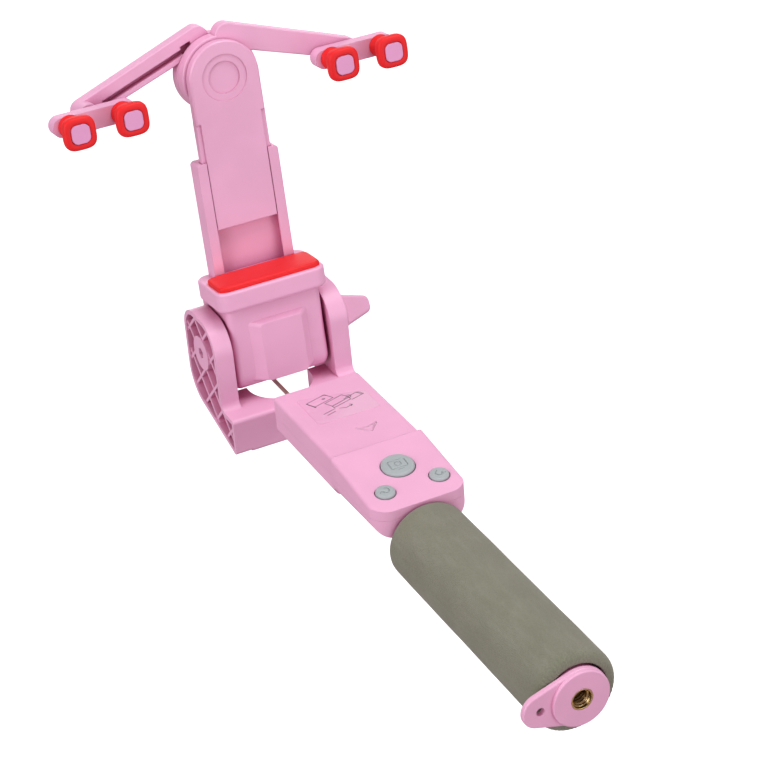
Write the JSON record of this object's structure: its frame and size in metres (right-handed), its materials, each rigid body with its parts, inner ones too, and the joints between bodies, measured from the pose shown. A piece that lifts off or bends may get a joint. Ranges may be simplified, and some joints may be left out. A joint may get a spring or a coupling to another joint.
{
  "type": "selfie stick",
  "caption": "Handheld stick with foam grip, key panel and telescopic rod, carrying a tilting motorised yoke and a folding four-hook phone clamp.",
  "frame": {"origin": "mouth of the tripod thread in the handle's end cap, on the handle's axis", "axes": "+Z along the handle from the end cap to the head, -Y the side with the keys, +X the user's right when the keys face the user"},
  "size_m": [0.1384, 0.1567, 0.2713],
  "materials": {
    "foam": "closed-cell foam, fine pores",
    "pink_abs": "satin moulded",
    "pink_inner": "moulded, fine texture",
    "red_rubber": "satin silicone rubber",
    "key_rubber": "satin silicone rubber",
    "brass": "turned",
    "chrome_tube": "plated, drawn",
    "steel": "zinc plated",
    "board": "solder resist",
    "cell": "foil pouch",
    "socket_steel": "stamped",
    "switch_black": "moulded",
    "clear_label": "printed film",
    "lead_sheath": "thin sheath",
    "white_nylon": "moulded nylon"
  },
  "bodies": {
    "handle": {"foam_grip": "foam", "handle_core": "switch_black", "end_cap": "pink_abs", "tripod_insert": "brass", "rod_bush": "white_nylon", "rod_tube_outer": "chrome_tube", "box_front_shell": "pink_abs", "box_rear_shell": "pink_abs", "box_screws": "steel", "instruction_label": "clear_label", "tact_switches": "switch_black", "circuit_board": "board", "battery": "cell", "charge_socket": "socket_steel"},
    "shutter_key": {"shutter_button": "key_rubber"},
    "left_key": {"rotate_left_button": "key_rubber"},
    "right_key": {"rotate_right_button": "key_rubber"},
    "rod_second": {"rod_tube_second": "chrome_tube"},
    "rod_third": {"rod_tube_third": "chrome_tube"},
    "yoke": {"rod_tube_tip": "chrome_tube", "yoke_fork": "pink_abs", "tilt_pivot_bolt": "steel", "tilt_pivot_nut": "steel", "friction_washers": "white_nylon", "motor_lead": "lead_sheath"},
    "knob": {"tilt_knob": "pink_abs", "tilt_knob_screw": "steel"},
    "pod": {"pod_front_shell": "pink_abs", "pod_rear_shell": "pink_abs", "pod_screws": "steel", "gear_motor": "steel", "gearbox": "brass", "knob_nut": "steel", "thrust_washer": "white_nylon", "lead_grommet": "switch_black"},
    "turntable": {"turntable_disc": "pink_inner", "output_shaft": "steel", "clamp_tray": "pink_abs", "tray_pad": "red_rubber", "spine_rail": "pink_inner", "rail_screws": "steel"},
    "slider": {"clamp_slider": "pink_abs", "hub_pin": "pink_abs", "hub_back_cap": "pink_abs", "hub_screw": "steel"},
    "arm_left": {"left_arm": "pink_abs", "left_bar_pin": "steel"},
    "arm_right": {"right_arm": "pink_abs", "right_bar_pin": "steel"},
    "bar_left": {"left_hook_bar": "pink_abs", "left_hook_cores": "pink_inner", "left_hook_sleeves": "red_rubber"},
    "bar_right": {"right_hook_bar": "pink_abs", "right_hook_cores": "pink_inner", "right_hook_sleeves": "red_rubber"}
  },
  "joints": [
    {"name": "shutter_press", "type": "slide", "parent": "handle", "child": "shutter_key", "axis": [0, 0.9923, 0.124], "range_m": [0, 0.0004], "stiffness_N_per_m": 300, "springref_m": -0.0008},
    {"name": "rotate_left_press", "type": "slide", "parent": "handle", "child": "left_key", "axis": [0, 0.9923, 0.124], "range_m": [0, 0.0004], "stiffness_N_per_m": 300, "springref_m": -0.0008},
    {"name": "rotate_right_press", "type": "slide", "parent": "handle", "child": "right_key", "axis": [0, 0.9923, 0.124], "range_m": [0, 0.0004], "stiffness_N_per_m": 300, "springref_m": -0.0008},
    {"name": "rod_second_slide", "type": "slide", "parent": "handle", "child": "rod_second", "axis": [0, 0, 1], "range_m": [0, 0.15]},
    {"name": "rod_third_slide", "type": "slide", "parent": "rod_second", "child": "rod_third", "axis": [0, 0, 1], "range_m": [0, 0.15]},
    {"name": "rod_tip_slide", "type": "slide", "parent": "rod_third", "child": "yoke", "axis": [0, 0, 1], "range_m": [0, 0.15]},
    {"name": "knob_turn", "type": "hinge", "parent": "yoke", "child": "knob", "pos_m": [0, -0.0204, 0.2397], "axis": [1, 0, 0], "range_deg": [-90, 90]},
    {"name": "tilt", "type": "hinge", "parent": "yoke", "child": "pod", "pos_m": [0, -0.0204, 0.2397], "axis": [1, 0, 0], "range_deg": [-83, 50], "deforming": ["motor_lead"]},
    {"name": "pan", "type": "hinge", "parent": "pod", "child": "turntable", "pos_m": [0, -0.03827, 0.24189], "axis": [0, -0.9925, 0.1219], "continuous": true},
    {"name": "clamp_slide", "type": "slide", "parent": "turntable", "child": "slider", "axis": [0, -0.9925, 0.1219], "range_m": [-0.014, 0.016]},
    {"name": "left_arm_fold", "type": "hinge", "parent": "slider", "child": "arm_left", "pos_m": [0, -0.12191, 0.26224], "axis": [0, 0.1219, 0.9925], "range_deg": [-20, 50]},
    {"name": "right_arm_fold", "type": "hinge", "parent": "slider", "child": "arm_right", "pos_m": [0, -0.12227, 0.25926], "axis": [0, 0.1219, 0.9925], "range_deg": [-50, 20]},
    {"name": "left_bar_rock", "type": "hinge", "parent": "arm_left", "child": "bar_left", "pos_m": [-0.0526, -0.12076, 0.25353], "axis": [0, 0.1219, 0.9925], "range_deg": [-25, 25]},
    {"name": "right_bar_rock", "type": "hinge", "parent": "arm_right", "child": "bar_right", "pos_m": [0.0526, -0.12076, 0.25353], "axis": [0, 0.1219, 0.9925], "range_deg": [-25, 25]}
  ]
}
